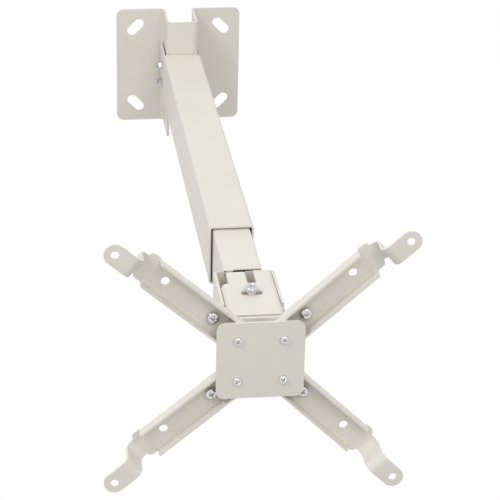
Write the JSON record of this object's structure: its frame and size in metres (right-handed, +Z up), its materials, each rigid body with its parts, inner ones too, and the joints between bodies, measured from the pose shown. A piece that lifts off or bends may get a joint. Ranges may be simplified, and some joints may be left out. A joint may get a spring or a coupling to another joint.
{
  "type": "projector ceiling mount",
  "caption": "Telescoping ceiling mount for a projector: folded ceiling bracket, two-part rectangular pole, tilting and rolling head, and a spider of swinging channel arms with dropped feet.",
  "frame": {"origin": "centre of the ceiling plate, in the plane of its upper face", "axes": "+Z up to the ceiling; -Y is the front, the side with the bracket's web and the head's slot; +X to the right seen from the front"},
  "size_m": [0.2416, 0.2248, 0.6658],
  "materials": {
    "ivory_paint": "smooth satin powder coat",
    "zinc": "bright zinc plate",
    "black_nylon": "moulded matte"
  },
  "bodies": {
    "bracket": {"ceiling_bracket": "ivory_paint"},
    "pole": {"outer_pole": "ivory_paint", "pole_pivot_bolt": "zinc", "pole_lock_bolt": "zinc", "bracket_spacers": "black_nylon", "bracket_nuts": "zinc", "extension_nut": "zinc", "extension_screw": "zinc"},
    "extension": {"inner_pole": "ivory_paint", "guide_collar": "black_nylon", "head_yoke": "ivory_paint", "pitch_bolts": "zinc", "pitch_washers": "black_nylon", "pitch_nuts": "zinc"},
    "tilt_head": {"tilt_frame": "ivory_paint", "rear_strap": "ivory_paint", "strap_screws": "zinc", "roll_bolt": "zinc", "roll_nut": "zinc"},
    "roll_head": {"roll_cradle": "ivory_paint", "slot_screw": "zinc", "slot_washer": "zinc", "slot_nut": "zinc", "swivel_bolt": "zinc", "swivel_spacer": "black_nylon", "swivel_washer": "zinc", "swivel_nut": "zinc"},
    "clamp": {"upper_clamp_plate": "ivory_paint", "square_plate": "ivory_paint", "corner_screws": "zinc", "corner_nuts": "zinc"},
    "arm_body_front_left": {"arm_front_left": "ivory_paint", "link_front_left": "zinc", "screw_front_left": "zinc", "nut_front_left": "zinc"},
    "arm_body_front_right": {"arm_front_right": "ivory_paint", "link_front_right": "zinc", "screw_front_right": "zinc", "nut_front_right": "zinc"},
    "arm_body_rear_left": {"arm_rear_left": "ivory_paint", "link_rear_left": "zinc", "screw_rear_left": "zinc", "nut_rear_left": "zinc"},
    "arm_body_rear_right": {"arm_rear_right": "ivory_paint", "link_rear_right": "zinc", "screw_rear_right": "zinc", "nut_rear_right": "zinc"}
  },
  "joints": [
    {"name": "pole_tilt", "type": "hinge", "parent": "bracket", "child": "pole", "pos_m": [0, -0.008, -0.025], "axis": [1, 0, 0], "range_deg": [0, 15]},
    {"name": "pole_slide", "type": "slide", "parent": "pole", "child": "extension", "axis": [0, 0, -1], "range_m": [-0.07, 0.18]},
    {"name": "head_tilt", "type": "hinge", "parent": "extension", "child": "tilt_head", "pos_m": [0, 0, -0.6], "axis": [1, 0, 0], "range_deg": [-15, 15]},
    {"name": "head_roll", "type": "hinge", "parent": "tilt_head", "child": "roll_head", "pos_m": [0, 0, -0.622], "axis": [0, 1, 0], "range_deg": [-8, 8]},
    {"name": "head_swivel", "type": "hinge", "parent": "roll_head", "child": "clamp", "pos_m": [0, 0, -0.637], "axis": [0, 0, 1], "continuous": true},
    {"name": "arm_swing_front_left", "type": "hinge", "parent": "clamp", "child": "arm_body_front_left", "pos_m": [-0.018, -0.0175, -0.64], "axis": [0, 0, 1], "range_deg": [-30, 30]},
    {"name": "arm_swing_front_right", "type": "hinge", "parent": "clamp", "child": "arm_body_front_right", "pos_m": [0.018, -0.0175, -0.64], "axis": [0, 0, 1], "range_deg": [-30, 30]},
    {"name": "arm_swing_rear_left", "type": "hinge", "parent": "clamp", "child": "arm_body_rear_left", "pos_m": [-0.018, 0.0175, -0.64], "axis": [0, 0, 1], "range_deg": [-30, 30]},
    {"name": "arm_swing_rear_right", "type": "hinge", "parent": "clamp", "child": "arm_body_rear_right", "pos_m": [0.018, 0.0175, -0.64], "axis": [0, 0, 1], "range_deg": [-30, 30]}
  ]
}
